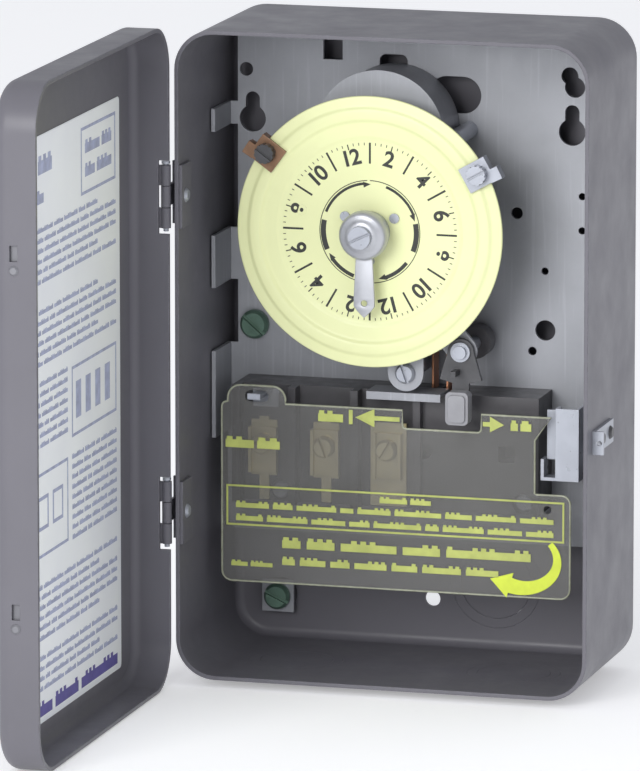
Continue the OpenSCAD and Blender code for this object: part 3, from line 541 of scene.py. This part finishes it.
# The outline runs from the upper left corner by the bottom, the right and the top to the ear, which
# hangs on the hook; HOOK is the middle of the ear
HOOK = -45.5
edge_loop = ([(-54.9, -18.0), (-55.8, -18.3), (-56.3, -19.0), (-56.4, -20.0)]
             + [(-56.4, -70.0)] + arc(-53.4, -70.0, 3.0, 180, 270, 6)
             + arc(49.0, -70.0, 3.0, 270, 360, 6) + arc(49.5, -44.0, 2.5, 0, 90, 5)
             + [(41.6, -41.5), (41.0, -41.2), (41.0, -25.0), (46.0, -18.0), (24.5, -18.0)]
             + [(24.5, -22.4)] + arc(23.3, -22.4, 1.2, 0, -90, 5) + arc(1.2, -22.4, 1.2, 270, 180, 5)
             + [(0.0, -18.0), (HOOK + 9, -18.0), (HOOK + 9, -16.8)]
             + arc(HOOK + 5, -16.8, 4, 0, 90, 8) + arc(HOOK - 5, -16.8, 4, 90, 180, 8)
             + [(HOOK - 9, -18.0)])
holes = [oblong(HOOK - 2, HOOK + 2, -16, 1.75), disc(45, -46, 1.2)]
add("cover_sheet", outline("cover_sheet", [edge_loop] + holes, SHEET_F, 1.0, 0.12),
    materials["clear_sheet"], "cover", ["insulator"])


INK = 0.05
# A bordered notice with a heading, two larger lines and a small mark below it, and the marks further up
lime = frame_of(-55.0, 50.3, -55.9, -43.4, 0.6)
lime += words(-7.0, 9.0, -46.7, -44.7, [4, 3], 0.9)
lime += words(-52, 47, -50.4, -48.3, [5, 3, 6, 2, 5, 7, 4, 6, 5], 1.2)
lime += words(-52, 47, -54.4, -52.3, [4, 6, 5, 3, 7, 2, 6, 5, 4], 1.2)
lime += words(-37.5, 40, -62.2, -58.8, [2, 3, 6, 4, 9], 1.9)
lime += words(-37.5, 30, -67.4, -64.8, [2, 4, 3, 5, 4, 6, 5], 1.5)
lime += words(-53.5, -40.5, -68.4, -66.6, [3, 4], 0.9)
lime += words(-55.2, -38.2, -32.0, -28.6, [5, 4], 1.0)
lime += words(-26.2, -18.4, -22.6, -19.2, [3], 1.0)
lime += words(33.6, 40.0, -22.4, -19.2, [2, 3], 0.8)
lime += [[(-14.6, -20.8), (-8.6, -23.6), (-8.6, -18.0)],
         [(-8.6, -21.5), (-0.8, -21.5), (-0.8, -20.1), (-8.6, -20.1)],
         [(-16.6, -23.0), (-15.4, -23.0), (-15.4, -18.6), (-16.6, -18.6)],
         [(31.6, -20.8), (27.2, -18.4), (27.2, -23.2)],
         [(25.0, -21.5), (27.2, -21.5), (27.2, -20.1), (25.0, -20.1)]]
add("cover_print", tiles("cover_print", lime, SHEET_F + INK, INK), ink_lime, "cover")

# A paler bead along the sheet's cut edge is a painted highlight, where the edge catches the light
BEAD_R = 0.34
bead = [at(x, SHEET_F - 0.28, z) for x, z in edge_loop]
add("cover_edge_highlight", swept("cover_edge_highlight", bead, BEAD_R * MM, 8, closed=True), materials["sheet_edge_highlight"],
    "cover")


def curved_arrow():
    """A tapering arrow that swings down from the right and points up to the left."""
    middle_x, middle_z, half_wide, half_high = 37.6, -61.6, 10.6, 8.6
    steps, barb, point = 24, 4.0, 6.4
    spine = []
    for i in range(steps + 1):
        t = i / steps
        a = math.radians(38 - 150 * t)
        spine.append((middle_x + half_wide * math.cos(a), middle_z + half_high * math.sin(a), 0.9 + 1.5 * t))
    left, right = [], []
    for i, (x, z, half) in enumerate(spine):
        x2, z2, _ = spine[min(i + 1, steps)]
        x1, z1, _ = spine[max(i - 1, 0)]
        length = math.hypot(x2 - x1, z2 - z1)
        nx, nz = -(z2 - z1) / length, (x2 - x1) / length
        left.append((x + nx * half, z + nz * half))
        right.append((x - nx * half, z - nz * half))
    x, z, _ = spine[-1]
    dx, dz = x - spine[-2][0], z - spine[-2][1]
    length = math.hypot(dx, dz)
    dx, dz = dx / length, dz / length
    head = [(x - dz * barb, z + dx * barb), (x + dx * point, z + dz * point),
            (x + dz * barb, z - dx * barb)]
    return left + head + right[::-1]


add("cover_arrow", outline("cover_arrow", [curved_arrow()], SHEET_F + INK, INK), ink_bright, "cover")


# ---------- door label ----------

def on_door(mesh):
    """Swings a mesh made on the closed door's inner face out to the open door."""
    px, py = DOOR_PIN[0], DOOR_PIN[1]
    for vertex in mesh.vertices:
        x, y, z = vertex.co
        vertex.co = Vector((px + (y - py), py - (x - px), z))
    return mesh


# The paper's thickness, the ink's, and how far from the door's face the ink starts: 0.03 inside the paper
PAPER, LABEL_INK, INK_FROM = 0.25, 0.06, 0.22
paper = rounded(-52, 52, -93, 80, 1.5)
label = outline("label_sheet", [paper], LABEL_F, PAPER, 0.05)
add("label_sheet", on_door(label), materials["label_paper"], "door",
    ["door_label"])


def label_print(name, loops, ink):
    """Prints shapes drawn as the page is read: its left edge is the one away from the hinge."""
    turned = [[(-x, z) for x, z in loop] for loop in loops]
    mesh = tiles(name, turned, LABEL_F - INK_FROM, LABEL_INK)
    add(name, on_door(mesh), ink, "door")


text, heavy = [], []
heavy += words(-48, -14, 68.5, 74, [4, 3], 3)
heavy += words(-48, -22, 60, 64, [4], 3)
heavy += frame_of(14, 48, 56, 76, 0.9)
heavy += words(18, 44, 68, 72, [3, 2], 2)
heavy += words(18, 44, 61, 65, [2, 3], 2)
row, PITCH, LETTER = 53.0, 3.0, 1.5
# Rows of print run across the label, and only half across beside the two drawings
BLANK_ROWS = (6, 7, 14, 22, 23, 33, 34, 41)
patterns = [[5, 3, 7, 4, 6, 3, 5], [3, 6, 4, 8, 3, 5, 4], [7, 2, 5, 6, 4, 6, 3], [4, 4, 6, 3, 7, 5, 2],
            [6, 5, 2, 8, 3, 6, 4]]
for line in range(46):
    if line in BLANK_ROWS:
        row -= PITCH
        continue
    if 15 <= line <= 21:
        text += words(-48, 0, row - LETTER, row, patterns[line % 5][:4], 1.1)
    elif 24 <= line <= 32:
        text += words(4, 48, row - LETTER, row, patterns[line % 5][:4], 1.1)
    else:
        text += words(-48, 48 if line % 4 else 30, row - LETTER, row, patterns[line % 5], 1.1)
    row -= PITCH
label_print("label_text", text, ink_blue)
heavy += frame_of(4, 48, -14, 7, 0.9)
for i in range(4):
    heavy += [[(8 + i * 9.5, -9), (13 + i * 9.5, -9), (13 + i * 9.5, 2), (8 + i * 9.5, 2)]]
heavy += frame_of(-48, 0, -44, -19, 0.9)
for i in range(3):
    heavy += frame_of(-43 + i * 14, -33 + i * 14, -36, -26, 1.1)
label_print("label_blocks", heavy, ink_blue)
label_print("label_bar", words(-48, 48, -91, -86.5, [7, 5, 8], 3), ink_violet)


# ---------- stage, light and camera ----------

def plain(name, colour, rough):
    return finish(name, colour, rough, change=0.01, patch=0.5, grain=0.0, corner_shade=0.0, round_by=0.01)


floor_mesh = bpy.data.meshes.new("floor")
low = cad_box[0][2] - 0.0003
reach = 30.0
floor_mesh.from_pydata([(-reach, -reach, low), (reach, -reach, low), (reach, reach, low),
                        (-reach, reach, low)], [], [(0, 1, 2, 3)])
floor = bpy.data.objects.new("floor", floor_mesh)
bpy.context.scene.collection.objects.link(floor)
floor_finish = plain("floor_white", (0.94, 0.94, 0.95), 0.7)
floor_shader = floor_finish.node_tree.nodes["Principled BSDF"]
floor_shader.inputs["Emission Color"].default_value = (1, 1, 1, 1)
floor_shader.inputs["Emission Strength"].default_value = 0.30
floor_mesh.materials.append(floor_finish)

world = bpy.data.worlds.new("studio")
bpy.context.scene.world = world
world.use_nodes = True
world.node_tree.nodes["Background"].inputs["Color"].default_value = (0.93, 0.95, 1.0, 1)
world.node_tree.nodes["Background"].inputs["Strength"].default_value = 0.60


def area(name, place, target, size, power, colour=(1, 1, 1)):
    """A rectangular lamp at a place, aimed at a target."""
    light = bpy.data.lights.new(name, "AREA")
    light.shape = "RECTANGLE"
    light.size, light.size_y = size
    light.energy = power
    light.color = colour
    lamp = bpy.data.objects.new(name, light)
    lamp.location = place
    lamp.rotation_euler = (Vector(target) - Vector(place)).to_track_quat("-Z", "Y").to_euler()
    bpy.context.scene.collection.objects.link(lamp)


area("key", (-0.35, -1.8, 0.6), (0, -0.05, 0), (1.0, 0.8), 21)
area("fill", (1.5, -1.2, 0.5), (0, -0.05, 0), (1.0, 1.0), 2, (0.96, 0.97, 1.0))
area("top", (0.1, -0.3, 1.7), (0, -0.05, 0), (0.9, 0.7), 0.8)

# The camera looks from the photograph's angle, and its aim is moved sideways and down, in millimetres,
# so that the object stands where the photograph has it
AZIMUTH, ELEVATION = math.radians(15.82), math.radians(10.71)
DISTANCE = 2.6
AIM_RIGHT, AIM_UP = -24.358, -9.984
right = Vector((math.cos(AZIMUTH), math.sin(AZIMUTH), 0))
back_way = Vector((math.sin(AZIMUTH) * math.cos(ELEVATION), -math.cos(AZIMUTH) * math.cos(ELEVATION),
                   math.sin(ELEVATION)))
up = back_way.cross(right)
target = Vector((0, -0.038, 0)) + right * AIM_RIGHT * MM + up * AIM_UP * MM
camera_data = bpy.data.cameras.new("camera")
camera_data.lens = 405.6
camera_data.sensor_width = 36
camera_data.clip_end = 100
camera = bpy.data.objects.new("camera", camera_data)
camera.matrix_world = Matrix.Translation(target + back_way * DISTANCE) @ Matrix(
    (right, up, back_way)).transposed().to_4x4()
bpy.context.scene.collection.objects.link(camera)
bpy.context.scene.camera = camera
bpy.context.scene.view_settings.view_transform = "Standard"
